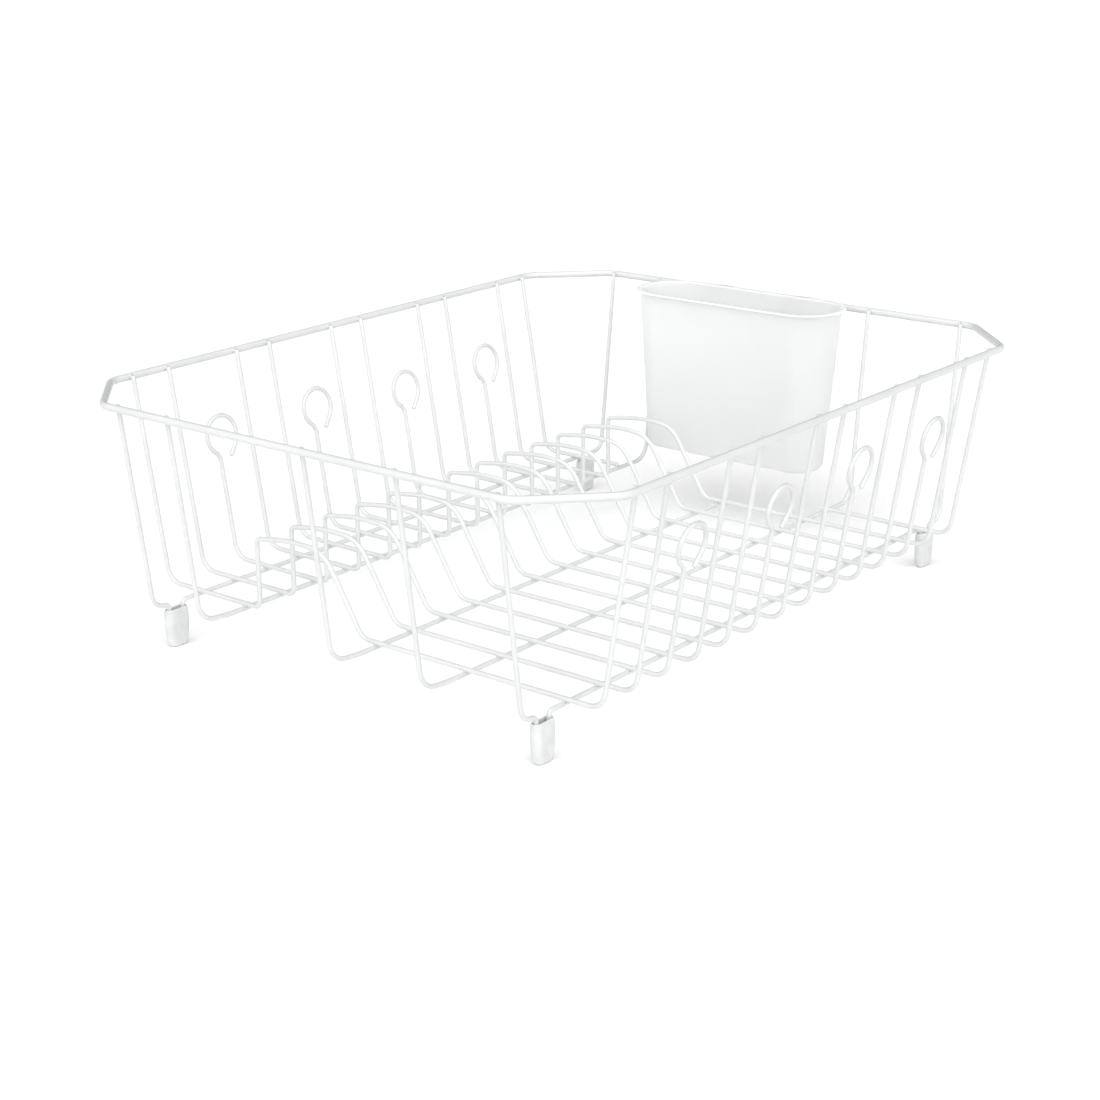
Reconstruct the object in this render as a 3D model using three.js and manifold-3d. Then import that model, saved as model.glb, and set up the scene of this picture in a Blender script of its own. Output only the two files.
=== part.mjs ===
// Wire dish drying rack with slip-on feet and a lift-off cutlery cup.
// Millimetres, +Z up. +X runs along the rack, towards the end that carries the cup; +Y is the
// side with the narrow channel. The origin is on the worktop, under the middle of the whole.
import * as THREE from 'three';
import { mergeVertices } from 'three/addons/utils/BufferGeometryUtils.js';
import Module from 'manifold-3d';

// ---- driving dimensions -------------------------------------------------------------------
const GAP = 0.3; // left between pieces that touch on the real rack
const CUT_OVERRUN = 1; // how far a cut runs past the face it opens

const RIM_LENGTH = 442; // between the rim wire's centrelines
const RIM_WIDTH = 356;
const RIM_HEIGHT = 144.2; // of its centreline above the worktop
const RIM_RADIUS = 2.1;
const RIM_CHAMFER = { left: 37.5, right: 40.4 }; // what a cut corner takes off both sides
const RIM_BEND = 15;

const WIRE_RADIUS = 1.35;
const WIRE_TIP_DEPTH = 0.8; // how far a wire's end stops below the top of the rim

const FLOOR_HEIGHT = 28.3; // centreline of the cross wires on the floor
const FLOOR_HALF_WIDTH = 154.8; // where the sides' slope meets the floor
const FLOOR_HALF_LENGTH = 202.6; // where the ends' slope meets the floor
const SIDE_BEND = 10;
const END_BEND = 12.5;
const FOOT_WIRE_END_BEND = 8.5; // tighter, because the foot sits close to it
const LEFT_END_LIFT = 1.6; // how far a long wire's left bend springs up from the floor
const LEFT_END_LIFT_START = 12; // on wires without feet, this far outside the first cross wire

const CROSS_COUNT = 14; // positions along the rack
const CROSS_PITCH = 26.2;
const HOOK_EVERY = 3; // every third cross wire ends in hooks instead of reaching the rim

// the raised crest that plates lean on, as corners of a cross wire
const RISER_Y = 81.7;
const RISER_BEND = 4.9;
const CREST_BACK_HEIGHT = 68.2;
const CREST_BACK_BEND = 3.5;
const CREST_MIDDLE = { y: 56.4, z: 72.2, bend: 100 };
const CREST_FRONT = { y: 31, z: 70.7, bend: 19 };
const SLOPE_FOOT = { y: 4.9, bend: 8.6 };

// the prongs for cups, round loops that lie in the side walls
const HOOK_RADIUS = 11.3;
const HOOK_CENTRE = { along: 4, z: 99.8 };
const HOOK_NECK_BEND = 7;
const HOOK_END = { along: 8.2, z: 86.5 };
const HOOK_RISE = { back: [0, 0, -5, -3], front: [0, 0, 2.5, 2] }; // they aren't all level

// long wires, from the narrow channel's side to the wide basin's side
const FOOT_WIRE_Y = { back: 132.4, front: -130.4 };
const LONG_WIRES = [
  { y: FOOT_WIRE_Y.back, onFeet: true },
  { y: 94.5 },
  { y: -4, short: true },
  { y: -66.2 },
  { y: FOOT_WIRE_Y.front, onFeet: true },
];
const SHORT_WIRE_OVERRUN = 5.8; // past the last full cross wire

const FOOT_X = { left: -186.8, right: 184.8 };
const FOOT_HEIGHT = 22.4;
const FOOT_LOOP_HALF = 5; // half the distance between the wire's two legs in a foot
const FOOT_LOOP_BEND = 4.995; // just under that, so that both bends fit side by side
const FOOT_LOOP_BOTTOM = 3.8; // lowest point of the wire's centreline in a foot
const FOOT_SHOULDER_BEND = 2.6;
// half width and half thickness of a foot at heights above the worktop
const FOOT_OUTLINE = [
  { z: 0, halfWide: 4.8, halfThick: 2.3 },
  { z: 1.2, halfWide: 5.9, halfThick: 2.95 },
  { z: 5, halfWide: 7, halfThick: 3.1 },
  { z: 10, halfWide: 7.6, halfThick: 3.1 },
  { z: 19, halfWide: 7.7, halfThick: 3.1 },
  { z: 21.4, halfWide: 7.4, halfThick: 2.9 },
  { z: FOOT_HEIGHT, halfWide: 7.1, halfThick: 2.6 },
];

const CUP_CENTRE_Y = 13;
const CUP_TOP = { x: 191.5, halfX: 23.3, halfY: 72 };
const CUP_BOTTOM = { x: 188, z: 44.5, halfX: 16.2, halfY: 64.4 };
const CUP_WALL = 1.5;
const CUP_EDGE = 5; // radius where the wall meets the cup's bottom
const CUP_LIP = 2.5; // how far the lip stands out from the wall
const CUP_HOOK_WIDTH = 12;
const CUP_HOOK_SPACING = 60;
const CUP_HOOK_DROP = 11;

const WIRE_SIDES = 8;
const RIM_SIDES = 10;
const FOOT_END_STEPS = 6;
const FOOT_LOOP_STEPS = 6;
const CUP_END_STEPS = 10;
const CUP_EDGE_STEPS = 3;
const STEP_ANGLE = THREE.MathUtils.degToRad(24); // largest turn between two stations of a wire

// ---- places worked out from the driving dimensions ----------------------------------------
const rimTop = RIM_HEIGHT + RIM_RADIUS;
const wireInset = RIM_RADIUS + WIRE_RADIUS + GAP; // a wire stands this far inside the rim wire
const wireTop = rimTop - WIRE_TIP_DEPTH;
const longWireHeight = FLOOR_HEIGHT - 2 * WIRE_RADIUS - GAP;
const cupHookInnerX = RIM_LENGTH / 2 + RIM_RADIUS + GAP;
const cupHookOuterX = cupHookInnerX + CUP_WALL;
const centreX = (cupHookOuterX - RIM_LENGTH / 2 - RIM_RADIUS) / 2;

const crossX = (position) => (position - (CROSS_COUNT + 1) / 2) * CROSS_PITCH;

// distance from the middle of a wire in the side or end walls, at height z
function wallAt(z, floorHalf, rimSize, floorZ) {
  const lean = (z - floorZ) / (RIM_HEIGHT - floorZ);
  return floorHalf + (rimSize / 2 - wireInset - floorHalf) * lean;
}
const sideWallY = (z) => wallAt(z, FLOOR_HALF_WIDTH, RIM_WIDTH, FLOOR_HEIGHT);
const endWallX = (z) => wallAt(z, FLOOR_HALF_LENGTH, RIM_LENGTH, longWireHeight);

// ---- wires --------------------------------------------------------------------------------
// Stations of a wire that runs straight between corners and bends round them. A corner is a
// point with a bend radius; the two ends have none.
function stationsRound(corners) {
  const stations = [corners[0].point];
  for (let i = 1; i < corners.length - 1; i += 1) {
    const { point, bend } = corners[i];
    const before = point.clone().sub(corners[i - 1].point).normalize();
    const after = corners[i + 1].point.clone().sub(point).normalize();
    const turn = before.angleTo(after);
    const inward = after.clone().addScaledVector(before, -Math.cos(turn)).normalize();
    const start = point.clone().addScaledVector(before, -bend * Math.tan(turn / 2));
    const steps = Math.max(1, Math.ceil(turn / STEP_ANGLE));
    for (let step = 0; step <= steps; step += 1) {
      const angle = (turn * step) / steps;
      const onArc = start.clone();
      onArc.addScaledVector(before, bend * Math.sin(angle));
      onArc.addScaledVector(inward, bend * (1 - Math.cos(angle)));
      stations.push(onArc);
    }
  }
  stations.push(corners[corners.length - 1].point);
  return stations;
}

const directionAt = (before, after) => after.clone().sub(before).normalize();

// A curve that a wire is extruded along: one step from each station to the next, so that
// straight stretches need no more than one.
class WireCurve extends THREE.Curve {
  constructor(stations) {
    super();
    this.stations = stations;
  }

  getPointAt(fraction, target = new THREE.Vector3()) {
    const index = Math.round(fraction * (this.stations.length - 1));
    return target.copy(this.stations[index]);
  }

  getTangentAt(fraction, target = new THREE.Vector3()) {
    const last = this.stations.length - 1;
    const index = Math.round(fraction * last);
    const here = this.stations[index];
    const tangent = new THREE.Vector3();
    if (index > 0) {
      tangent.add(directionAt(this.stations[index - 1], here));
    }
    if (index < last) {
      tangent.add(directionAt(here, this.stations[index + 1]));
    }
    return target.copy(tangent.normalize());
  }
}

function wireSection() {
  const corners = [];
  for (let i = 0; i < WIRE_SIDES; i += 1) {
    const angle = ((i + 0.5) * 2 * Math.PI) / WIRE_SIDES;
    corners.push(new THREE.Vector2(Math.cos(angle), Math.sin(angle)).multiplyScalar(WIRE_RADIUS));
  }
  return new THREE.Shape(corners);
}

function wireGeometry(stations) {
  return new THREE.ExtrudeGeometry(wireSection(), {
    steps: stations.length - 1,
    extrudePath: new WireCurve(stations),
  });
}

// Points of an arc from one angle to another, both ends included.
function arcPoints(centre, radius, from, to) {
  const steps = Math.ceil(Math.abs(to - from) / STEP_ANGLE);
  return Array.from({ length: steps + 1 }, (_, step) => {
    const angle = from + ((to - from) * step) / steps;
    return centre.clone().add(new THREE.Vector2(Math.cos(angle), Math.sin(angle)).multiplyScalar(radius));
  });
}

// The hook in its own flat outline: across the wire's position, and height. The wire leaves its
// free end, runs round the loop, and comes back through an opposite bend onto its own stem.
function hookOutline() {
  const centre = new THREE.Vector2(HOOK_CENTRE.along, HOOK_CENTRE.z);
  const end = new THREE.Vector2(HOOK_END.along, HOOK_END.z);
  const toEnd = end.clone().sub(centre);
  const loopStart = toEnd.angle() - 2 * Math.PI + Math.acos(HOOK_RADIUS / toEnd.length());
  const across = centre.x + HOOK_NECK_BEND;
  const stemTop = centre.y - Math.sqrt((HOOK_RADIUS + HOOK_NECK_BEND) ** 2 - across ** 2);
  const neckCentre = new THREE.Vector2(-HOOK_NECK_BEND, stemTop);
  const neckAngle = centre.clone().sub(neckCentre).angle();
  return [
    end,
    ...arcPoints(centre, HOOK_RADIUS, loopStart, neckAngle + Math.PI),
    ...arcPoints(neckCentre, HOOK_NECK_BEND, neckAngle, 0).slice(1),
  ];
}

// One end of a cross wire, from its tip down to the side wall: a tip at the rim, or a hook.
function rimEnd(x, side) {
  return [new THREE.Vector3(x, side * sideWallY(wireTop), wireTop)];
}

function hookEnd(x, side, rise) {
  return hookOutline().map(({ x: along, y: height }) => {
    const z = height + rise;
    return new THREE.Vector3(x + along, side * sideWallY(z), z);
  });
}

function crossCorner(x, y, z, bend) {
  return { point: new THREE.Vector3(x, y, z), bend };
}

function crossWireStations(position) {
  const x = crossX(position);
  const hooked = position % HOOK_EVERY === 0;
  const hook = position / HOOK_EVERY - 1;
  const backEnd = hooked ? hookEnd(x, 1, HOOK_RISE.back[hook]) : rimEnd(x, 1);
  const frontEnd = hooked ? hookEnd(x, -1, HOOK_RISE.front[hook]).reverse() : rimEnd(x, -1);
  const corners = [
    { point: backEnd.pop() },
    crossCorner(x, FLOOR_HALF_WIDTH, FLOOR_HEIGHT, SIDE_BEND),
    crossCorner(x, RISER_Y, FLOOR_HEIGHT, RISER_BEND),
    crossCorner(x, RISER_Y, CREST_BACK_HEIGHT, CREST_BACK_BEND),
    crossCorner(x, CREST_MIDDLE.y, CREST_MIDDLE.z, CREST_MIDDLE.bend),
    crossCorner(x, CREST_FRONT.y, CREST_FRONT.z, CREST_FRONT.bend),
    crossCorner(x, SLOPE_FOOT.y, FLOOR_HEIGHT, SLOPE_FOOT.bend),
    crossCorner(x, -FLOOR_HALF_WIDTH, FLOOR_HEIGHT, SIDE_BEND),
    { point: frontEnd.shift() },
  ];
  return [...backEnd, ...stationsRound(corners), ...frontEnd];
}

// The last position has no crest, which leaves room for the cup: a short wire on each side
// runs from the rim to the first long wire it can be welded to.
function shortCrossWireStations(side, endY) {
  const x = crossX(CROSS_COUNT);
  return stationsRound([
    { point: rimEnd(x, side)[0] },
    crossCorner(x, side * FLOOR_HALF_WIDTH, FLOOR_HEIGHT, SIDE_BEND),
    { point: new THREE.Vector3(x, endY, FLOOR_HEIGHT) },
  ]);
}

// Corners of a long wire where it dips into a foot and comes back up.
function footLoopCorners(y, footX) {
  const corner = (offset, z, bend) => ({ point: new THREE.Vector3(footX + offset, y, z), bend });
  return [
    corner(-FOOT_LOOP_HALF, longWireHeight, FOOT_SHOULDER_BEND),
    corner(-FOOT_LOOP_HALF, FOOT_LOOP_BOTTOM, FOOT_LOOP_BEND),
    corner(FOOT_LOOP_HALF, FOOT_LOOP_BOTTOM, FOOT_LOOP_BEND),
    corner(FOOT_LOOP_HALF, longWireHeight, FOOT_SHOULDER_BEND),
  ];
}

function longWireStations({ y, onFeet = false, short = false }) {
  const endBend = onFeet ? FOOT_WIRE_END_BEND : END_BEND;
  const tip = (end) => ({ point: new THREE.Vector3(end * endWallX(wireTop), y, wireTop) });
  const floorCorner = (end, lift) => ({
    point: new THREE.Vector3(end * FLOOR_HALF_LENGTH, y, longWireHeight + lift),
    bend: endBend,
  });
  const corners = [tip(-1), floorCorner(-1, LEFT_END_LIFT)];
  if (onFeet) {
    corners.push(...footLoopCorners(y, FOOT_X.left), ...footLoopCorners(y, FOOT_X.right));
  } else {
    const liftStart = new THREE.Vector3(crossX(1) - LEFT_END_LIFT_START, y, longWireHeight);
    corners.push({ point: liftStart, bend: END_BEND });
  }
  if (short) {
    const endX = crossX(CROSS_COUNT - 1) + SHORT_WIRE_OVERRUN;
    corners.push({ point: new THREE.Vector3(endX, y, longWireHeight) });
  } else {
    corners.push(floorCorner(1, 0), tip(1));
  }
  return stationsRound(corners);
}

// ---- skins over rings of points -----------------------------------------------------------
// A closed body whose surface joins each ring of points to the next. An open row of rings gets
// a flat cap at each end; a looped row joins its last ring to its first.
function skinOverRings(rings, looped) {
  const size = rings[0].length;
  const indices = [];
  const seams = looped ? rings.length : rings.length - 1;
  for (let ring = 0; ring < seams; ring += 1) {
    const low = ring * size;
    const high = ((ring + 1) % rings.length) * size;
    for (let i = 0; i < size; i += 1) {
      const next = (i + 1) % size;
      indices.push(low + i, low + next, high + next);
      indices.push(low + i, high + next, high + i);
    }
  }
  if (!looped) {
    const top = (rings.length - 1) * size;
    for (let i = 1; i < size - 1; i += 1) {
      indices.push(0, i + 1, i);
      indices.push(top, top + i, top + i + 1);
    }
  }
  const geometry = new THREE.BufferGeometry().setFromPoints(rings.flat());
  geometry.setIndex(indices);
  return geometry;
}

function rimGeometry() {
  const halfX = RIM_LENGTH / 2;
  const halfY = RIM_WIDTH / 2;
  const { left, right } = RIM_CHAMFER;
  const outline = [
    [halfX, -halfY + right],
    [halfX, halfY - right],
    [halfX - right, halfY],
    [-halfX + left, halfY],
    [-halfX, halfY - left],
    [-halfX, -halfY + left],
    [-halfX + left, -halfY],
    [halfX - right, -halfY],
  ].map(([x, y]) => ({ point: new THREE.Vector3(x, y, RIM_HEIGHT), bend: RIM_BEND }));
  const corners = [outline[outline.length - 1], ...outline, outline[0]];
  const stations = stationsRound(corners).slice(1, -1);
  const up = new THREE.Vector3(0, 0, 1);
  const rings = stations.map((here, index) => {
    const before = stations[(index + stations.length - 1) % stations.length];
    const after = stations[(index + 1) % stations.length];
    const along = directionAt(before, here).add(directionAt(here, after)).normalize();
    const outward = along.clone().cross(up);
    return Array.from({ length: RIM_SIDES }, (_, side) => {
      const angle = ((side + 0.5) * 2 * Math.PI) / RIM_SIDES;
      const point = here.clone();
      point.addScaledVector(outward, RIM_RADIUS * Math.cos(angle));
      point.addScaledVector(up, -RIM_RADIUS * Math.sin(angle));
      return point;
    });
  });
  return skinOverRings(rings, true);
}

// A level ring with straight sides and round ends, anticlockwise from above.
function roundEndedRing(centre, halfWide, halfLong, lengthAxis, stepsPerEnd) {
  const straight = halfLong - halfWide;
  const ring = [];
  for (const end of [1, -1]) {
    for (let step = 0; step <= stepsPerEnd; step += 1) {
      const angle = (Math.PI * step) / stepsPerEnd;
      const across = end * halfWide * Math.cos(angle);
      const along = end * (straight + halfWide * Math.sin(angle));
      const x = lengthAxis === 'y' ? across : along;
      const y = lengthAxis === 'y' ? along : -across;
      ring.push(new THREE.Vector3(centre.x + x, centre.y + y, centre.z));
    }
  }
  return ring;
}

// ---- joining and cutting ------------------------------------------------------------------
const wasm = await Module();
wasm.setup();

function toSolid(geometry) {
  const bare = geometry.clone();
  bare.deleteAttribute('normal');
  bare.deleteAttribute('uv');
  const merged = mergeVertices(bare);
  return new wasm.Manifold(new wasm.Mesh({
    numProp: 3,
    vertProperties: new Float32Array(merged.attributes.position.array),
    triVerts: new Uint32Array(merged.index.array),
  }));
}

function toGeometry(solid) {
  const { vertProperties, triVerts } = solid.getMesh();
  const geometry = new THREE.BufferGeometry();
  geometry.setAttribute('position', new THREE.BufferAttribute(vertProperties, 3));
  geometry.setIndex(new THREE.BufferAttribute(triVerts, 1));
  geometry.computeVertexNormals();
  return geometry;
}

// ---- feet ---------------------------------------------------------------------------------
// A soft cap, flattened across the rack, with a pocket for the loop of the long wire.
function footGeometry() {
  const rings = FOOT_OUTLINE.map(({ z, halfWide, halfThick }) => {
    const centre = new THREE.Vector3(0, 0, z);
    return roundEndedRing(centre, halfThick, halfWide, 'x', FOOT_END_STEPS);
  });
  const pocketHalf = FOOT_LOOP_HALF + WIRE_RADIUS + GAP;
  const pocketThickness = 2 * (WIRE_RADIUS + GAP);
  const loopCentreZ = FOOT_LOOP_BOTTOM + FOOT_LOOP_HALF;
  const pocketShape = new THREE.Shape();
  pocketShape.moveTo(pocketHalf, FOOT_HEIGHT + CUT_OVERRUN);
  pocketShape.lineTo(-pocketHalf, FOOT_HEIGHT + CUT_OVERRUN);
  pocketShape.lineTo(-pocketHalf, loopCentreZ);
  pocketShape.absarc(0, loopCentreZ, pocketHalf, Math.PI, 2 * Math.PI, false);
  const pocket = new THREE.ExtrudeGeometry(pocketShape, {
    depth: pocketThickness,
    bevelEnabled: false,
    curveSegments: FOOT_LOOP_STEPS,
  });
  pocket.translate(0, 0, -pocketThickness / 2);
  pocket.rotateX(Math.PI / 2);
  return toGeometry(toSolid(skinOverRings(rings, false)).subtract(toSolid(pocket)));
}

// ---- cutlery cup --------------------------------------------------------------------------
// Half sizes and centre of the cup's wall at a height, drawn in by an inset.
function cupRing(z, inset) {
  const rise = (z - CUP_BOTTOM.z) / (rimTop + GAP - CUP_BOTTOM.z);
  const centre = new THREE.Vector3(
    THREE.MathUtils.lerp(CUP_BOTTOM.x, CUP_TOP.x, rise),
    CUP_CENTRE_Y,
    z,
  );
  const halfX = THREE.MathUtils.lerp(CUP_BOTTOM.halfX, CUP_TOP.halfX, rise) - inset;
  const halfY = THREE.MathUtils.lerp(CUP_BOTTOM.halfY, CUP_TOP.halfY, rise) - inset;
  return roundEndedRing(centre, halfX, halfY, 'y', CUP_END_STEPS);
}

// Rings of the rounded lower edge, from the flat bottom up the wall.
function cupEdgeRings(bottomZ, inset, radius) {
  return Array.from({ length: CUP_EDGE_STEPS + 1 }, (_, step) => {
    const angle = (Math.PI / 2) * (step / CUP_EDGE_STEPS);
    const z = bottomZ + radius * (1 - Math.cos(angle));
    return cupRing(z, inset + radius * (1 - Math.sin(angle)));
  });
}

// A hook that reaches from the lip over the rim wire and down behind it.
function cupHookGeometry(y) {
  const hookTop = rimTop + GAP + CUP_WALL;
  const root = CUP_TOP.x + CUP_TOP.halfX + CUP_LIP / 2;
  const outline = new THREE.Shape([
    new THREE.Vector2(root, hookTop - CUP_WALL),
    new THREE.Vector2(cupHookInnerX, hookTop - CUP_WALL),
    new THREE.Vector2(cupHookInnerX, hookTop - CUP_HOOK_DROP),
    new THREE.Vector2(cupHookOuterX, hookTop - CUP_HOOK_DROP),
    new THREE.Vector2(cupHookOuterX, hookTop),
    new THREE.Vector2(root, hookTop),
  ]);
  const hook = new THREE.ExtrudeGeometry(outline, { depth: CUP_HOOK_WIDTH, bevelEnabled: false });
  hook.rotateX(Math.PI / 2);
  return hook.translate(0, y + CUP_HOOK_WIDTH / 2, 0);
}

function cupGeometry() {
  const lipBottom = rimTop + GAP;
  const lipTop = lipBottom + CUP_WALL;
  const inner = cupEdgeRings(CUP_BOTTOM.z + CUP_WALL, CUP_WALL, CUP_EDGE - CUP_WALL);
  const shell = toSolid(skinOverRings([
    ...cupEdgeRings(CUP_BOTTOM.z, 0, CUP_EDGE),
    cupRing(lipBottom, 0),
    cupRing(lipBottom, -CUP_LIP),
    cupRing(lipTop, -CUP_LIP),
    cupRing(lipTop, CUP_WALL),
    ...inner.reverse(),
  ], false));
  const hooks = [-1, 1].map((side) => {
    return toSolid(cupHookGeometry(CUP_CENTRE_Y + (side * CUP_HOOK_SPACING) / 2));
  });
  return toGeometry(hooks.reduce((whole, hook) => whole.add(hook), shell));
}

// ---- materials and assembly ---------------------------------------------------------------
const coating = { color: 0xf1f3f2, roughness: 0.38, metalness: 0 };
const softCap = { color: 0xe9ebe9, roughness: 0.5, metalness: 0 };
const clearPlastic = { color: 0xeef3f2, roughness: 0.3, metalness: 0 };

const rack = new THREE.Group();
rack.position.x = -centreX;

function place(name, geometry, finish, position = [0, 0, 0]) {
  const mesh = new THREE.Mesh(geometry, new THREE.MeshStandardMaterial(finish));
  mesh.name = name;
  mesh.position.set(...position);
  rack.add(mesh);
}

place('rim_wire', rimGeometry(), coating);
for (let position = 1; position < CROSS_COUNT; position += 1) {
  const name = `cross_wire_${String(position).padStart(2, '0')}`;
  place(name, wireGeometry(crossWireStations(position)), coating);
}
const shortBackEnd = LONG_WIRES[1].y - WIRE_RADIUS;
const shortFrontEnd = LONG_WIRES[3].y + WIRE_RADIUS;
place(`cross_wire_${CROSS_COUNT}_back`, wireGeometry(shortCrossWireStations(1, shortBackEnd)), coating);
place(`cross_wire_${CROSS_COUNT}_front`, wireGeometry(shortCrossWireStations(-1, shortFrontEnd)), coating);
LONG_WIRES.forEach((wire, index) => {
  place(`long_wire_${index + 1}`, wireGeometry(longWireStations(wire)), coating);
});
for (const [endName, x] of Object.entries(FOOT_X)) {
  for (const [sideName, y] of Object.entries(FOOT_WIRE_Y)) {
    place(`foot_${sideName}_${endName}`, footGeometry(), softCap, [x, y, 0]);
  }
}
place('cutlery_cup', cupGeometry(), clearPlastic);

export default new THREE.Group().add(rack);
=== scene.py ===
"""Looks of a wire dish drying rack with slip-on feet and a lift-off cutlery cup.

Metres, +Z up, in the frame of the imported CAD. +X runs along the rack towards the end that
carries the cup, and +Y is the side with the narrow channel.
"""

import math

import bmesh
import bpy
from mathutils import Matrix, Vector


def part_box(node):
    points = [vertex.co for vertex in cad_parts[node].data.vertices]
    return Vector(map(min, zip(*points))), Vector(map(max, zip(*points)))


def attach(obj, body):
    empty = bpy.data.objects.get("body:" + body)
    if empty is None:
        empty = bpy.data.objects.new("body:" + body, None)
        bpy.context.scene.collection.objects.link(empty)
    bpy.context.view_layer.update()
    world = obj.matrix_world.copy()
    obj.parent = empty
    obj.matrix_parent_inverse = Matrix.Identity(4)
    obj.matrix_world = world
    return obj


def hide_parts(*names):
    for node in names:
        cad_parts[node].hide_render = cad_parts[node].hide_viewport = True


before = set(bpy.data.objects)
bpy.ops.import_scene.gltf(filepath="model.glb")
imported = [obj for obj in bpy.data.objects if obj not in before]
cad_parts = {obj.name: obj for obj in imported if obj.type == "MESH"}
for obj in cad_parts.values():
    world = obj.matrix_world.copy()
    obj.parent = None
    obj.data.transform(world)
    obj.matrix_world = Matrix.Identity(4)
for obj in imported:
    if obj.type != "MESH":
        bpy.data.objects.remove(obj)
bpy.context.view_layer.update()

# ---- driving dimensions that the frame's boxes don't tell ----------------------------------
MM = 0.001
WELD_GAP = 0.3 * MM  # between wires that touch on the real rack
CAD_WIRE_SIDES = 8
CAD_RIM_SIDES = 10

RIM_CHAMFER = {"left": 37.5 * MM, "right": 40.4 * MM}
RIM_BEND = 15 * MM
TIP_DEPTH = 0.8 * MM  # a wire's end stops this far below the top of the rim

FLOOR_HALF_WIDTH = 154.8 * MM
FLOOR_HALF_LENGTH = 202.6 * MM
SIDE_BEND = 10 * MM
END_BEND = 12.5 * MM
FOOT_WIRE_END_BEND = 8.5 * MM
LEFT_END_LIFT = 1.6 * MM
LEFT_END_LIFT_START = 12 * MM

CROSS_COUNT = 14
HOOK_EVERY = 3
RISER_Y = 81.7 * MM
RISER_BEND = 4.9 * MM
CREST = [  # corners of the raised crest from back to front: y, z, bend
    (RISER_Y, 68.2 * MM, 3.5 * MM),
    (56.4 * MM, 72.2 * MM, 100 * MM),
    (31 * MM, 70.7 * MM, 19 * MM),
]
SLOPE_FOOT_Y = 4.9 * MM
SLOPE_FOOT_BEND = 8.6 * MM

HOOK_RADIUS = 11.3 * MM
HOOK_CENTRE = Vector((4 * MM, 99.8 * MM))  # along the rack from the stem, and height
HOOK_NECK_BEND = 7 * MM
HOOK_END = Vector((8.2 * MM, 86.5 * MM))
HOOK_RISE = {1: [0, 0, -5 * MM, -3 * MM], -1: [0, 0, 2.5 * MM, 2 * MM]}

LONG_WIRE_COUNT = 5
FOOT_WIRES = (1, 5)  # long wires that dip into the feet
SHORT_LONG_WIRE = 3  # ends at the last crested cross wire
SHORT_WIRE_OVERRUN = 5.8 * MM
FOOT_LOOP_HALF = 5 * MM
FOOT_LOOP_BEND = FOOT_LOOP_HALF * 0.999  # just under half the loop's width, so that it fits
FOOT_SHOULDER_BEND = 2.6 * MM

CUP_TOP_HALF_X = 23.3 * MM
CUP_LIP = 2.5 * MM
CUP_WALL = 1.5 * MM
CUP_BOTTOM = {"shift_x": -3.5 * MM, "half_x": 16.2 * MM, "half_y": 64.4 * MM}
CUP_EDGE = 5 * MM
CUP_HOOK_WIDTH = 12 * MM
CUP_HOOK_SPACING = 60 * MM
CUP_HOOK_DROP = 11 * MM

WIRE_SIDES = 20
RIM_SIDES = 28
BEND_STEP = math.radians(5)

# ---- places and sizes read from the frame --------------------------------------------------
rim_low, rim_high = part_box("rim_wire")
rim_centre = (rim_low + rim_high) / 2
rim_radius = (rim_high.z - rim_low.z) / 2
rim_reach = rim_radius * math.cos(math.pi / CAD_RIM_SIDES)
rim_half_x = (rim_high.x - rim_low.x) / 2 - rim_reach
rim_half_y = (rim_high.y - rim_low.y) / 2 - rim_reach

first_low, first_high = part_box("cross_wire_01")
last_low, last_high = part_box(f"cross_wire_{CROSS_COUNT - 1:02d}")
cross_pitch = (last_low.x - first_low.x) / (CROSS_COUNT - 2)
wire_reach = (first_high.x - first_low.x) / 2
wire_radius = wire_reach / math.cos(math.pi / CAD_WIRE_SIDES)
cross_z = first_low.z + wire_reach
long_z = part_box("long_wire_2")[0].z + wire_reach
foot_loop_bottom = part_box("long_wire_1")[0].z + wire_reach
wire_inset = rim_radius + wire_radius + WELD_GAP
wire_top = rim_high.z - TIP_DEPTH


def cross_x(position):
    return first_low.x + wire_reach + (position - 1) * cross_pitch


def middle_of(node):
    low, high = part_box(node)
    return (low + high) / 2


def long_y(number):
    return middle_of(f"long_wire_{number}").y


def wall_at(z, floor_half, rim_half, foot_z):
    """Distance from the middle of a wire in a leaning wall, at height z."""
    lean = (z - foot_z) / (rim_centre.z - foot_z)
    return floor_half + (rim_half - wire_inset - floor_half) * lean


def side_wall_y(z):
    return wall_at(z, FLOOR_HALF_WIDTH, rim_half_y, cross_z)


def end_wall_x(end, z):
    return rim_centre.x + end * wall_at(z, FLOOR_HALF_LENGTH, rim_half_x, long_z)


# ---- routes of the wires -------------------------------------------------------------------
def rounded_route(corners):
    """Points along straight runs and round bends. A corner is (point, bend radius)."""
    points = [corners[0][0]]
    for (before, _), (point, bend), (after, _) in zip(corners, corners[1:], corners[2:]):
        way_in = (point - before).normalized()
        way_out = (after - point).normalized()
        turn = way_in.angle(way_out)
        inward = (way_out - way_in * math.cos(turn)).normalized()
        start = point - way_in * bend * math.tan(turn / 2)
        steps = max(2, math.ceil(turn / BEND_STEP))
        for step in range(steps + 1):
            angle = turn * step / steps
            points.append(
                start
                + way_in * bend * math.sin(angle)
                + inward * bend * (1 - math.cos(angle))
            )
    points.append(corners[-1][0])
    return points


def arc(centre, radius, start, end):
    """Flat points round a centre from one angle to another, both ends included."""
    steps = math.ceil(abs(end - start) / BEND_STEP)
    angles = [start + (end - start) * step / steps for step in range(steps + 1)]
    return [centre + radius * Vector((math.cos(a), math.sin(a))) for a in angles]


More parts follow.
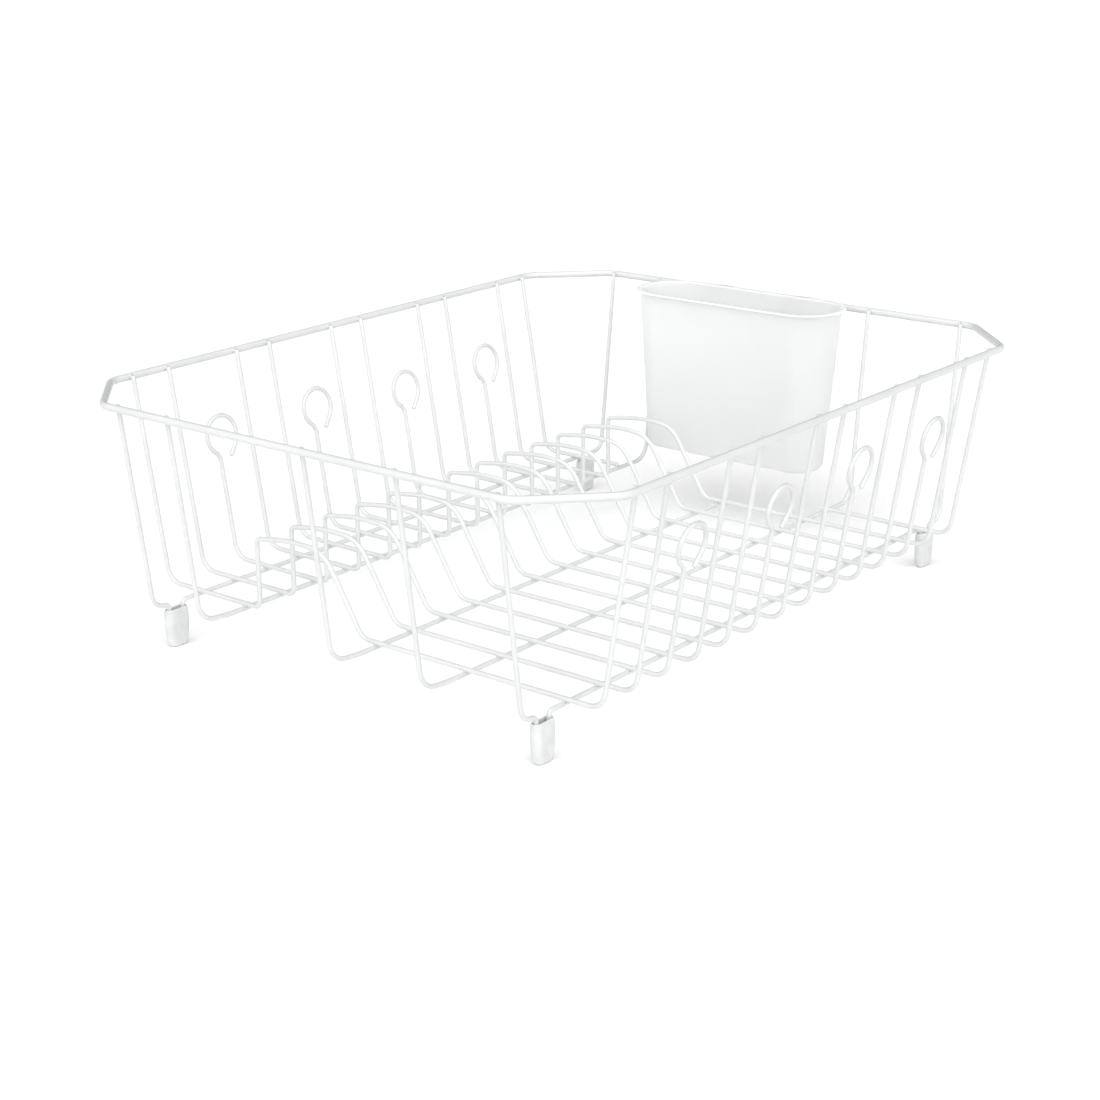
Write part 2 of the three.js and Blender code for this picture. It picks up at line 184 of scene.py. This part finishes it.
def hook_outline():
    """The prong in its flat outline: along the rack, and height. It runs from the free end
    round the loop and through an opposite bend onto its stem."""
    to_end = HOOK_END - HOOK_CENTRE
    end_angle = math.atan2(to_end.y, to_end.x)
    loop_start = end_angle + math.acos(HOOK_RADIUS / to_end.length)
    across = HOOK_CENTRE.x + HOOK_NECK_BEND
    stem_drop = math.sqrt((HOOK_RADIUS + HOOK_NECK_BEND) ** 2 - across**2)
    neck_centre = Vector((-HOOK_NECK_BEND, HOOK_CENTRE.y - stem_drop))
    to_loop = HOOK_CENTRE - neck_centre
    neck_angle = math.atan2(to_loop.y, to_loop.x)
    return [
        HOOK_END,
        *arc(HOOK_CENTRE, HOOK_RADIUS, loop_start, neck_angle + math.pi),
        *arc(neck_centre, HOOK_NECK_BEND, neck_angle, 0)[1:],
    ]


def wall_end(position, side):
    """A cross wire's stretch in a side wall from its end down to the straight stem."""
    x = cross_x(position)
    if position % HOOK_EVERY:
        return [Vector((x, side * side_wall_y(wire_top), wire_top))]
    rise = HOOK_RISE[side][position // HOOK_EVERY - 1]
    return [
        Vector((x + along, side * side_wall_y(height + rise), height + rise))
        for along, height in hook_outline()
    ]


def cross_route(position):
    x = cross_x(position)
    back = wall_end(position, 1)
    front = wall_end(position, -1)[::-1]
    corners = [
        (back.pop(), 0),
        (Vector((x, FLOOR_HALF_WIDTH, cross_z)), SIDE_BEND),
        (Vector((x, RISER_Y, cross_z)), RISER_BEND),
        *((Vector((x, y, z)), bend) for y, z, bend in CREST),
        (Vector((x, SLOPE_FOOT_Y, cross_z)), SLOPE_FOOT_BEND),
        (Vector((x, -FLOOR_HALF_WIDTH, cross_z)), SIDE_BEND),
        (front.pop(0), 0),
    ]
    return [*back, *rounded_route(corners), *front]


def short_cross_route(side, end_y):
    x = cross_x(CROSS_COUNT)
    return rounded_route(
        [
            (wall_end(CROSS_COUNT, side)[0], 0),
            (Vector((x, side * FLOOR_HALF_WIDTH, cross_z)), SIDE_BEND),
            (Vector((x, end_y, cross_z)), 0),
        ]
    )


def foot_corners(y, foot_x):
    """Where a long wire dips into a foot and comes back up."""
    return [
        (Vector((foot_x - FOOT_LOOP_HALF, y, long_z)), FOOT_SHOULDER_BEND),
        (Vector((foot_x - FOOT_LOOP_HALF, y, foot_loop_bottom)), FOOT_LOOP_BEND),
        (Vector((foot_x + FOOT_LOOP_HALF, y, foot_loop_bottom)), FOOT_LOOP_BEND),
        (Vector((foot_x + FOOT_LOOP_HALF, y, long_z)), FOOT_SHOULDER_BEND),
    ]


def long_route(number):
    y = long_y(number)
    on_feet = number in FOOT_WIRES
    bend = FOOT_WIRE_END_BEND if on_feet else END_BEND
    middle = rim_centre.x
    corners = [
        (Vector((end_wall_x(-1, wire_top), y, wire_top)), 0),
        (Vector((middle - FLOOR_HALF_LENGTH, y, long_z + LEFT_END_LIFT)), bend),
    ]
    if on_feet:
        side = "back" if y > 0 else "front"
        for end in ("left", "right"):
            corners += foot_corners(y, middle_of(f"foot_{side}_{end}").x)
    else:
        corners.append((Vector((cross_x(1) - LEFT_END_LIFT_START, y, long_z)), END_BEND))
    if number == SHORT_LONG_WIRE:
        end_x = cross_x(CROSS_COUNT - 1) + SHORT_WIRE_OVERRUN
        corners.append((Vector((end_x, y, long_z)), 0))
    else:
        corners.append((Vector((middle + FLOOR_HALF_LENGTH, y, long_z)), bend))
        corners.append((Vector((end_wall_x(1, wire_top), y, wire_top)), 0))
    return rounded_route(corners)


def rim_route():
    left, right = RIM_CHAMFER["left"], RIM_CHAMFER["right"]
    outline = [
        (rim_half_x, -rim_half_y + right),
        (rim_half_x, rim_half_y - right),
        (rim_half_x - right, rim_half_y),
        (-rim_half_x + left, rim_half_y),
        (-rim_half_x, rim_half_y - left),
        (-rim_half_x, -rim_half_y + left),
        (-rim_half_x + left, -rim_half_y),
        (rim_half_x - right, -rim_half_y),
    ]
    corners = [(Vector((rim_centre.x + x, y, rim_centre.z)), RIM_BEND) for x, y in outline]
    return rounded_route([corners[-1], *corners, corners[0]])[1:-1]


# ---- mesh building -------------------------------------------------------------------------
def skin(bm, rings, looped=False):
    """Quads between each ring of vertices and the next."""
    pairs = list(zip(rings, rings[1:]))
    if looped:
        pairs.append((rings[-1], rings[0]))
    for low, high in pairs:
        for i in range(len(low)):
            j = (i + 1) % len(low)
            bm.faces.new((low[i], low[j], high[j], high[i]))


def cap(bm, ring, centre, flip):
    """Closes a ring with a fan round a centre point."""
    hub = bm.verts.new(centre)
    for i in range(len(ring)):
        j = (i + 1) % len(ring)
        bm.faces.new((ring[j], ring[i], hub) if flip else (ring[i], ring[j], hub))


def piece(name, bm, material, body, stands_for=()):
    """Turns a bmesh into a smooth-shaded object that rides on a body of the frame."""
    bmesh.ops.recalc_face_normals(bm, faces=bm.faces)
    mesh = bpy.data.meshes.new(name)
    bm.to_mesh(mesh)
    bm.free()
    for polygon in mesh.polygons:
        polygon.use_smooth = True
    obj = bpy.data.objects.new(name, mesh)
    obj.data.materials.append(material)
    bpy.context.scene.collection.objects.link(obj)
    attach(obj, body)
    if stands_for:
        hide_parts(*stands_for)
    return obj


TIP_LENGTH = 0.75  # of the radius: how blunt a coated wire end is
TIP_BLUNTNESS = 0.6
TIP_RINGS = 5


def tube(bm, points, radius, sides, looped=False):
    """A round wire along a route, with blunt coated ends that stop at the route's ends."""
    count = len(points)
    tangents = []
    for i, here in enumerate(points):
        before = points[i - 1] if i or looped else here
        after = points[(i + 1) % count] if i + 1 < count or looped else here
        step_in = (here - before).normalized() if before is not here else Vector()
        step_out = (after - here).normalized() if after is not here else Vector()
        tangents.append((step_in + step_out).normalized())
    stations = [(point, tangent, 1.0) for point, tangent in zip(points, tangents)]
    if not looped:
        tip = radius * TIP_LENGTH
        stations[0] = (points[0] + tangents[0] * tip, tangents[0], 1.0)
        stations[-1] = (points[-1] - tangents[-1] * tip, tangents[-1], 1.0)
        for ring in range(1, TIP_RINGS):
            angle = math.pi / 2 * ring / TIP_RINGS
            out = tip * math.sin(angle)
            share = math.cos(angle) ** TIP_BLUNTNESS
            stations.insert(0, (points[0] + tangents[0] * (tip - out), tangents[0], share))
            stations.append((points[-1] - tangents[-1] * (tip - out), tangents[-1], share))
    across = stations[0][1].orthogonal().normalized()
    if looped:
        across = Vector((0, 0, 1))
    rings = []
    for point, tangent, share in stations:
        across = (across - tangent * across.dot(tangent)).normalized()
        beside = tangent.cross(across)
        rings.append(
            [
                bm.verts.new(
                    point
                    + across * radius * share * math.cos(2 * math.pi * side / sides)
                    + beside * radius * share * math.sin(2 * math.pi * side / sides)
                )
                for side in range(sides)
            ]
        )
    skin(bm, rings, looped)
    if not looped:
        cap(bm, rings[0], points[0], True)
        cap(bm, rings[-1], points[-1], False)


WELD_SIDES = 24
WELD_RINGS = 7
WELD_SPREAD = 0.96  # of the thinner wire's radius: how far the pooled coating reaches
WELD_WAIST = 0.42  # of that spread: how deep the hollow of the fillet is drawn in
WELD_SINK = 0.04 * MM  # how far its edges lie inside the wires


def weld(bm, a, b):
    """The fillet of metal and coating where two wires cross. Each wire is
    (point on its axis, direction, radius)."""
    (point_a, axis_a, radius_a), (point_b, axis_b, radius_b) = a, b
    normal = axis_a.cross(axis_b).normalized()
    apart = (point_a - point_b).dot(normal)
    if apart < 0:
        normal, apart = -normal, -apart
    # the point of wire b's axis that lies nearest to wire a's axis
    offset = point_a - point_b - normal * apart
    cross = axis_b.cross(axis_a)
    along_b = offset.cross(axis_a).dot(cross) / cross.length_squared
    nearest = point_b + axis_b * along_b
    half_gap = (apart - radius_a - radius_b) / 2
    origin = nearest + normal * (radius_b + half_gap)
    beside_a = normal.cross(axis_a)
    spread = WELD_SPREAD * min(radius_a, radius_b)

    def surface_a(distance, direction):
        off = distance * direction.dot(beside_a)
        return half_gap + radius_a - math.sqrt(radius_a**2 - off**2)

    def surface_b(distance, direction):
        off = distance * direction.cross(axis_b).length
        return -half_gap - radius_b + math.sqrt(radius_b**2 - off**2)

    directions = []
    for side in range(WELD_SIDES):
        angle = 2 * math.pi * side / WELD_SIDES
        directions.append(axis_a * math.cos(angle) + beside_a * math.sin(angle))
    rings = []
    for ring in range(WELD_RINGS):
        t = ring / (WELD_RINGS - 1)
        weights = ((1 - t) ** 2, 2 * t * (1 - t), t**2)
        points = []
        for direction in directions:
            low = surface_b(spread, direction) - WELD_SINK
            high = surface_a(spread, direction) + WELD_SINK
            distances = (spread, spread * WELD_WAIST, spread)
            distance = sum(w * d for w, d in zip(weights, distances))
            height = weights[0] * low + weights[1] * (low + high) / 2 + weights[2] * high
            points.append(bm.verts.new(origin + direction * distance + normal * height))
        rings.append(points)
    skin(bm, rings)
    cap(bm, rings[0], origin - normal * radius_b, True)
    cap(bm, rings[-1], origin + normal * radius_a, False)


# ---- materials -----------------------------------------------------------------------------
TONE_EDGES = (0.35, 0.65)  # noise values where the drift reaches its first and second tone
TONE_DETAIL = 3.0
GRAIN_DETAIL = 2.0
GRAIN_DEPTH = 0.05 * MM


def set_sockets(node, **values):
    """Sets a node's inputs by name, with _ for each space."""
    for name, value in values.items():
        node.inputs[name.replace("_", " ")].default_value = value


def procedural(name, tones, tone_scale, roughness, grain_scale, grain, **sockets):
    """A principled material whose colour drifts between two tones, with its roughness and a
    fine surface texture from noise."""
    material = bpy.data.materials.new(name)
    material.use_nodes = True
    nodes, links = material.node_tree.nodes, material.node_tree.links
    shader = nodes["Principled BSDF"]
    place = nodes.new("ShaderNodeTexCoord")

    drift = nodes.new("ShaderNodeTexNoise")
    set_sockets(drift, Scale=tone_scale, Detail=TONE_DETAIL)
    colours = nodes.new("ShaderNodeValToRGB")
    for element, edge, tone in zip(colours.color_ramp.elements, TONE_EDGES, tones):
        element.position = edge
        element.color = (*tone, 1)
    links.new(place.outputs["Object"], drift.inputs["Vector"])
    links.new(drift.outputs["Fac"], colours.inputs["Fac"])
    links.new(colours.outputs["Color"], shader.inputs["Base Color"])

    fine = nodes.new("ShaderNodeTexNoise")
    set_sockets(fine, Scale=grain_scale, Detail=GRAIN_DETAIL)
    gloss = nodes.new("ShaderNodeMapRange")
    set_sockets(gloss, To_Min=roughness[0], To_Max=roughness[1])
    bump = nodes.new("ShaderNodeBump")
    set_sockets(bump, Strength=grain, Distance=GRAIN_DEPTH)
    links.new(place.outputs["Object"], fine.inputs["Vector"])
    links.new(fine.outputs["Fac"], gloss.inputs["Value"])
    links.new(gloss.outputs["Result"], shader.inputs["Roughness"])
    links.new(fine.outputs["Fac"], bump.inputs["Height"])
    links.new(bump.outputs["Normal"], shader.inputs["Normal"])
    set_sockets(shader, **sockets)
    return material


def make_coating():
    return procedural(
        "white_vinyl_coating",
        tones=((0.585, 0.602, 0.597), (0.625, 0.638, 0.634)),
        tone_scale=28.0,
        roughness=(0.3, 0.42),
        grain_scale=700.0,
        grain=0.25,
        Specular_IOR_Level=0.5,
        Coat_Weight=0.2,
        Coat_Roughness=0.25,
    )


def make_vinyl():
    return procedural(
        "soft_vinyl_cap",
        tones=((0.57, 0.585, 0.58), (0.63, 0.64, 0.636)),
        tone_scale=160.0,
        roughness=(0.42, 0.56),
        grain_scale=1400.0,
        grain=0.35,
        Subsurface_Weight=0.35,
        Subsurface_Radius=(1.0, 1.0, 1.0),
        Subsurface_Scale=1.5 * MM,
    )


def make_cup_plastic():
    return procedural(
        "frosted_polypropylene",
        tones=((0.73, 0.745, 0.74), (0.745, 0.757, 0.753)),
        tone_scale=18.0,
        roughness=(0.46, 0.56),
        grain_scale=1100.0,
        grain=0.3,
        IOR=1.49,
        Subsurface_Weight=1.0,
        Subsurface_Radius=(1.0, 1.0, 1.0),
        Subsurface_Scale=8 * MM,
    )


coating = make_coating()
vinyl = make_vinyl()
cup_plastic = make_cup_plastic()


# ---- the rack's wires ----------------------------------------------------------------------
def make_wire(name, points):
    bm = bmesh.new()
    tube(bm, points, wire_radius, WIRE_SIDES)
    piece(f"coated_{name}", bm, coating, "rack", [name])


def make_rim():
    bm = bmesh.new()
    tube(bm, rim_route(), rim_radius, RIM_SIDES, looped=True)
    piece("coated_rim", bm, coating, "rack", ["rim_wire"])


ALONG_X = Vector((1, 0, 0))
ALONG_Y = Vector((0, 1, 0))


def side_wall_wire(position, side):
    """A cross wire where it is straight in a side wall, as weld() takes it."""
    foot, crossing, top = (
        Vector((cross_x(position), side * side_wall_y(z), z))
        for z in (cross_z, rim_centre.z, wire_top)
    )
    return crossing, (top - foot).normalized(), wire_radius


def end_wall_wire(number, end):
    """A long wire where it is straight in an end wall, as weld() takes it."""
    foot, crossing, top = (
        Vector((end_wall_x(end, z), long_y(number), z))
        for z in (long_z, rim_centre.z, wire_top)
    )
    return crossing, (top - foot).normalized(), wire_radius


def make_floor_welds():
    bm = bmesh.new()
    for number in range(1, LONG_WIRE_COUNT + 1):
        y = long_y(number)
        long_wire = (Vector((0, y, long_z)), ALONG_X, wire_radius)
        last = CROSS_COUNT - 1 if number == SHORT_LONG_WIRE else CROSS_COUNT
        for position in range(1, last + 1):
            cross_wire = (Vector((cross_x(position), y, cross_z)), ALONG_Y, wire_radius)
            weld(bm, cross_wire, long_wire)
    piece("floor_welds", bm, coating, "rack")


def make_rim_welds():
    bm = bmesh.new()
    for side in (1, -1):
        rail = (Vector((0, side * rim_half_y, rim_centre.z)), ALONG_X, rim_radius)
        for position in range(1, CROSS_COUNT + 1):
            if position % HOOK_EVERY:
                weld(bm, rail, side_wall_wire(position, side))
    for end in (1, -1):
        end_x = rim_centre.x + end * rim_half_x
        rail = (Vector((end_x, 0, rim_centre.z)), ALONG_Y, rim_radius)
        for number in range(1, LONG_WIRE_COUNT + 1):
            if end == -1 or number != SHORT_LONG_WIRE:
                weld(bm, rail, end_wall_wire(number, end))
    piece("rim_welds", bm, coating, "rack")


def make_wires():
    make_rim()
    for position in range(1, CROSS_COUNT):
        make_wire(f"cross_wire_{position:02d}", cross_route(position))
    back_end = long_y(2) - wire_radius
    front_end = long_y(4) + wire_radius
    make_wire(f"cross_wire_{CROSS_COUNT}_back", short_cross_route(1, back_end))
    make_wire(f"cross_wire_{CROSS_COUNT}_front", short_cross_route(-1, front_end))
    for number in range(1, LONG_WIRE_COUNT + 1):
        make_wire(f"long_wire_{number}", long_route(number))
    make_floor_welds()
    make_rim_welds()


# ---- feet ----------------------------------------------------------------------------------
FOOT_PROFILE = [  # height, half width, half thickness in mm, from the sole up to the mouth
    (0, 4.1, 1.8),
    (0.25, 5.0, 2.55),
    (0.9, 5.85, 3.15),
    (2.2, 6.5, 3.4),
    (4, 6.95, 3.5),
    (6.5, 7.35, 3.5),
    (10, 7.72, 3.5),
    (13, 7.86, 3.5),
    (16, 7.9, 3.5),
    (19, 7.9, 3.45),
    (20.8, 7.78, 3.3),
    (21.9, 7.5, 3.0),
    (22.4, 7.1, 2.5),
]
FOOT_MOUTH = [(22.25, 6.65, 1.95), (21.6, 6.5, 1.75), (16, 6.5, 1.66)]  # on down the pocket
FOOT_FLAT_STEPS = 12
FOOT_END_STEPS = 8
FOOT_RIDGE = 0.05  # share by which the skin stands out over the wire inside
FOOT_RIDGE_WIDTH = 1.7 * MM
FOOT_DIMPLE = {"z": 6.2 * MM, "radius": 0.7 * MM, "depth": 0.45 * MM}
FOOT_SUBDIVISIONS = 2


def stadium(half_long, half_wide, flat_steps, end_steps):
    """Flat points of a ring with two straight sides along the first axis and round ends."""
    straight = half_long - half_wide
    points = []
    for end in (1, -1):
        for step in range(flat_steps):
            points.append((end * straight * (1 - 2 * step / flat_steps), end * half_wide))
        for step in range(end_steps):
            angle = math.pi * step / end_steps
            points.append(
                (
                    -end * (straight + half_wide * math.sin(angle)),
                    end * half_wide * math.cos(angle),
                )
            )
    return points


def distance_to_loop(x, z):
    """How far a point of a foot's face is from the wire loop inside it."""
    loop_z = foot_loop_bottom + FOOT_LOOP_HALF
    if z > loop_z:
        return abs(abs(x) - FOOT_LOOP_HALF)
    return abs(math.hypot(x, z - loop_z) - FOOT_LOOP_HALF)


def make_foot(node):
    place = middle_of(node)
    bm = bmesh.new()
    rings = []
    for is_mouth, profile in ((False, FOOT_PROFILE), (True, FOOT_MOUTH)):
        for height, half_width, half_thickness in profile:
            z = height * MM
            ring = []
            for x, y in stadium(
                half_width * MM, half_thickness * MM, FOOT_FLAT_STEPS, FOOT_END_STEPS
            ):
                if not is_mouth:
                    near = math.exp(-((distance_to_loop(x, z) / FOOT_RIDGE_WIDTH) ** 2))
                    y *= 1 - FOOT_RIDGE * (1 - near)
                    dent = math.hypot(x, z - FOOT_DIMPLE["z"]) / FOOT_DIMPLE["radius"]
                    y -= math.copysign(FOOT_DIMPLE["depth"] * math.exp(-(dent**2)), y)
                ring.append(bm.verts.new(Vector((place.x + x, place.y + y, z))))
            rings.append(ring)
    skin(bm, rings)
    cap(bm, rings[0], Vector((place.x, place.y, 0)), True)
    cap(bm, rings[-1], Vector((place.x, place.y, FOOT_MOUTH[-1][0] * MM)), False)
    foot = piece(f"vinyl_{node}", bm, vinyl, "rack", [node])
    smooth = foot.modifiers.new("fine_skin", "SUBSURF")
    smooth.levels = smooth.render_levels = FOOT_SUBDIVISIONS


def make_feet():
    for side in ("back", "front"):
        for end in ("left", "right"):
            make_foot(f"foot_{side}_{end}")


# ---- cutlery cup ---------------------------------------------------------------------------
CUP_END_STEPS = 24
CUP_FLAT_STEPS = 8
cup_low, cup_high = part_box("cutlery_cup")
cup_y = (cup_low.y + cup_high.y) / 2
cup_top_x = cup_low.x + CUP_LIP + CUP_TOP_HALF_X
cup_top_half_y = (cup_high.y - cup_low.y) / 2 - CUP_LIP
cup_lip_z = cup_high.z - CUP_WALL


def cup_ring(bm, z, inset):
    """A level ring of the cup's wall at height z, drawn in by an inset."""
    rise = (z - cup_low.z) / (cup_lip_z - cup_low.z)
    shift = CUP_BOTTOM["shift_x"] * (1 - rise)
    half_x = CUP_BOTTOM["half_x"] * (1 - rise) + CUP_TOP_HALF_X * rise - inset
    half_y = CUP_BOTTOM["half_y"] * (1 - rise) + cup_top_half_y * rise - inset
    ring = stadium(half_y, half_x, CUP_FLAT_STEPS, CUP_END_STEPS)
    centre = Vector((cup_top_x + shift, cup_y, z))
    return [bm.verts.new(centre + Vector((-across, along, 0))) for along, across in ring]


def quarter_turn(steps):
    """Angles from 0 to 90 degrees, both included."""
    return [math.pi / 2 * step / steps for step in range(steps + 1)]


CUP_EDGE_STEPS = 6
CUP_SOLE_RISE = 0.8 * MM  # the middle of the bottom is raised inside a narrow standing ring
CUP_SOLE_RING = 3 * MM
CUP_SOLE_RAMP = [  # down to that ring: share of the rise, and how far inside the ring's width
    (1, 1.2 * MM),
    (0.8, 0.5 * MM),
    (0, -0.5 * MM),
]
CUP_LIP_THICKNESS = 1.0 * MM
CUP_LIP_ROUND = 0.45 * MM
CUP_LIP_STEPS = 4
CUP_HOLLOW_DEPTH = 2.2 * MM  # the hollow under the lip starts this far below it
CUP_HOLLOW_STEPS = 3


def cup_profile():
    """(height, inset) of the cup's rings, from the middle of the sole, up the outside, over
    the lip and down the inside."""
    profile = [
        (cup_low.z + CUP_SOLE_RISE * share, CUP_EDGE + CUP_SOLE_RING + inside)
        for share, inside in CUP_SOLE_RAMP
    ]
    for angle in quarter_turn(CUP_EDGE_STEPS):
        height = cup_low.z + CUP_EDGE * (1 - math.cos(angle))
        profile.append((height, CUP_EDGE * (1 - math.sin(angle))))
    under_lip = cup_high.z - CUP_LIP_THICKNESS
    profile.append((under_lip - CUP_HOLLOW_DEPTH, 0))
    for angle in quarter_turn(CUP_HOLLOW_STEPS):  # the hollow under the lip
        inset = -CUP_LIP_ROUND * (1 - math.cos(angle))
        profile.append((under_lip - CUP_LIP_ROUND * (1 - math.sin(angle)), inset))
    for angle in quarter_turn(CUP_LIP_STEPS):  # the lip's outer edge, rounded below
        inset = -CUP_LIP + CUP_LIP_ROUND * (1 - math.sin(angle))
        profile.append((under_lip + CUP_LIP_ROUND * (1 - math.cos(angle)), inset))
    for angle in quarter_turn(CUP_LIP_STEPS):  # and above
        inset = -CUP_LIP + CUP_LIP_ROUND * (1 - math.cos(angle))
        profile.append((cup_high.z - CUP_LIP_ROUND * (1 - math.sin(angle)), inset))
    for angle in quarter_turn(CUP_LIP_STEPS):  # over the mouth's inner edge
        inset = CUP_WALL - CUP_LIP_ROUND * (1 - math.sin(angle))
        profile.append((cup_high.z - CUP_LIP_ROUND * (1 - math.cos(angle)), inset))
    inner_edge = CUP_EDGE - CUP_WALL
    inner_floor = cup_low.z + CUP_WALL
    for angle in reversed(quarter_turn(CUP_EDGE_STEPS)):
        height = inner_floor + inner_edge * (1 - math.cos(angle))
        profile.append((height, CUP_WALL + inner_edge * (1 - math.sin(angle))))
    return profile


def make_cup():
    bm = bmesh.new()
    rings = [cup_ring(bm, z, inset) for z, inset in cup_profile()]
    skin(bm, rings)
    for ring in (rings[0], rings[-1]):
        bm.faces.new(ring)
    cup = piece("cup_shell", bm, cup_plastic, "cup", ["cutlery_cup"])
    cup.modifiers.new("even_shading", "WEIGHTED_NORMAL")
    for side in (1, -1):
        make_cup_hook(f"cup_hook_{'back' if side == 1 else 'front'}", side)


CUP_HOOK_THICKNESS = 0.75 * MM
CUP_HOOK_CLEARANCE = 0.05 * MM  # over the top of the rim
CUP_HOOK_BEND = 3 * MM
CUP_HOOK_SIDES = 24
CUP_HOOK_SQUARENESS = 0.45
CUP_HOOK_TIP_RINGS = 4
CUP_HOOK_TIP_LENGTH = CUP_HOOK_WIDTH / 4


def make_cup_hook(name, side):
    """A flat hook with rounded edges, from the lip over the rim wire and down behind it."""
    y = cup_y + side * CUP_HOOK_SPACING / 2
    top_z = rim_high.z + CUP_HOOK_CLEARANCE + CUP_HOOK_THICKNESS / 2
    drop_x = cup_high.x - CUP_HOOK_THICKNESS / 2
    route = rounded_route(
        [
            (Vector((cup_top_x + CUP_TOP_HALF_X + CUP_LIP / 2, y, top_z)), 0),
            (Vector((drop_x, y, top_z)), CUP_HOOK_BEND),
            (Vector((drop_x, y, cup_high.z - CUP_HOOK_DROP)), 0),
        ]
    )
    last = route.pop()
    stations = [(point, 1) for point in route]
    for step in range(CUP_HOOK_TIP_RINGS + 1):
        angle = math.pi / 2 * step / (CUP_HOOK_TIP_RINGS + 1)
        rise = CUP_HOOK_TIP_LENGTH * (1 - math.sin(angle))
        stations.append((last + Vector((0, 0, rise)), math.cos(angle)))
    bm = bmesh.new()
    rings = []
    for i, (point, share) in enumerate(stations):
        before = stations[max(i - 1, 0)][0]
        after = stations[min(i + 1, len(stations) - 1)][0]
        outward = ALONG_Y.cross(after - before).normalized()
        ring = []
        for step in range(CUP_HOOK_SIDES):
            angle = 2 * math.pi * step / CUP_HOOK_SIDES
            wide, thick = math.cos(angle), math.sin(angle)
            across = math.copysign(abs(wide) ** CUP_HOOK_SQUARENESS, wide) * CUP_HOOK_WIDTH / 2
            through = math.copysign(abs(thick) ** CUP_HOOK_SQUARENESS, thick)
            offset = outward * through * CUP_HOOK_THICKNESS / 2
            ring.append(bm.verts.new(point + (ALONG_Y * across + offset) * share))
        rings.append(ring)
    skin(bm, rings)
    cap(bm, rings[0], stations[0][0], True)
    cap(bm, rings[-1], last, False)
    piece(name, bm, cup_plastic, "cup")


# ---- camera, light and floor ---------------------------------------------------------------
CAMERA_PLACE = Vector((-0.9438, -0.7476, 0.4379))  # from under the middle of the rim
CAMERA_YAW = 51.07  # degrees from +Y towards +X
CAMERA_PITCH = -18.59
CAMERA_ROLL = -0.54
CAMERA_LENS = 71.29  # mm
CAMERA_SENSOR = 36.0  # mm
CAMERA_CLIP = (0.01, 100.0)


def make_camera():
    camera = bpy.data.cameras.new("camera")
    camera.lens = CAMERA_LENS
    camera.sensor_width = CAMERA_SENSOR
    camera.clip_start, camera.clip_end = CAMERA_CLIP
    obj = bpy.data.objects.new("camera", camera)
    turn = (
        Matrix.Rotation(math.radians(-CAMERA_YAW), 4, "Z")
        @ Matrix.Rotation(math.radians(90 + CAMERA_PITCH), 4, "X")
        @ Matrix.Rotation(math.radians(CAMERA_ROLL), 4, "Z")
    )
    obj.matrix_world = Matrix.Translation(CAMERA_PLACE + ALONG_X * rim_centre.x) @ turn
    bpy.context.scene.collection.objects.link(obj)
    bpy.context.scene.camera = obj


SKY_BRIGHT_SIDE = Vector((-0.68, -0.56, 0.42))  # the sky is brightest in this direction
SKY_DARKEST = 0.0
SKY_BRIGHTEST = 2.2
SKY_FADE = -0.4  # cosine to the bright side beyond which the sky is at its darkest
KEY_FROM = Vector((-0.5, -0.1, 0.85))
KEY_STRENGTH = 0.4  # watts per square metre
KEY_SPREAD = math.radians(50)
FLOOR_HALF_SIZE = 30
FLOOR_CELLS = 8


def make_key():
    light = bpy.data.lights.new("key", "SUN")
    light.energy = KEY_STRENGTH
    light.angle = KEY_SPREAD
    obj = bpy.data.objects.new("key", light)
    obj.rotation_euler = KEY_FROM.to_track_quat("Z", "Y").to_euler()
    bpy.context.scene.collection.objects.link(obj)


def make_sky():
    """A soft dome that is brightest on one side; the camera sees it white."""
    world = bpy.data.worlds.new("studio")
    bpy.context.scene.world = world
    world.use_nodes = True
    nodes, links = world.node_tree.nodes, world.node_tree.links
    place = nodes.new("ShaderNodeTexCoord")
    facing = nodes.new("ShaderNodeVectorMath")
    facing.operation = "DOT_PRODUCT"
    facing.inputs[1].default_value = SKY_BRIGHT_SIDE.normalized()
    fade = nodes.new("ShaderNodeMapRange")
    set_sockets(fade, From_Min=SKY_FADE, To_Min=SKY_DARKEST, To_Max=SKY_BRIGHTEST)
    seen = nodes.new("ShaderNodeBackground")
    mix = nodes.new("ShaderNodeMixShader")
    path = nodes.new("ShaderNodeLightPath")
    lit = nodes["Background"]
    for background in (lit, seen):
        set_sockets(background, Color=(1, 1, 1, 1), Strength=1.0)
    links.new(place.outputs["Generated"], facing.inputs[0])
    links.new(facing.outputs["Value"], fade.inputs["Value"])
    links.new(fade.outputs["Result"], lit.inputs["Strength"])
    links.new(path.outputs["Is Camera Ray"], mix.inputs["Fac"])
    links.new(lit.outputs["Background"], mix.inputs[1])
    links.new(seen.outputs["Background"], mix.inputs[2])
    links.new(mix.outputs["Shader"], nodes["World Output"].inputs["Surface"])


def make_floor():
    bm = bmesh.new()
    bmesh.ops.create_grid(
        bm, x_segments=FLOOR_CELLS, y_segments=FLOOR_CELLS, size=FLOOR_HALF_SIZE
    )
    mesh = bpy.data.meshes.new("floor")
    bm.to_mesh(mesh)
    bm.free()
    floor = bpy.data.objects.new("floor", mesh)
    bpy.context.scene.collection.objects.link(floor)
    material = procedural(
        "pale_floor",
        tones=((0.955, 0.955, 0.955), (0.965, 0.965, 0.965)),
        tone_scale=2.0,
        roughness=(0.8, 0.9),
        grain_scale=60.0,
        grain=0.02,
        Specular_IOR_Level=0.0,
    )
    floor.data.materials.append(material)


def make_studio():
    bpy.context.scene.view_settings.view_transform = "Standard"
    make_sky()
    make_key()
    make_floor()


make_camera()
make_studio()
make_wires()
make_feet()
make_cup()
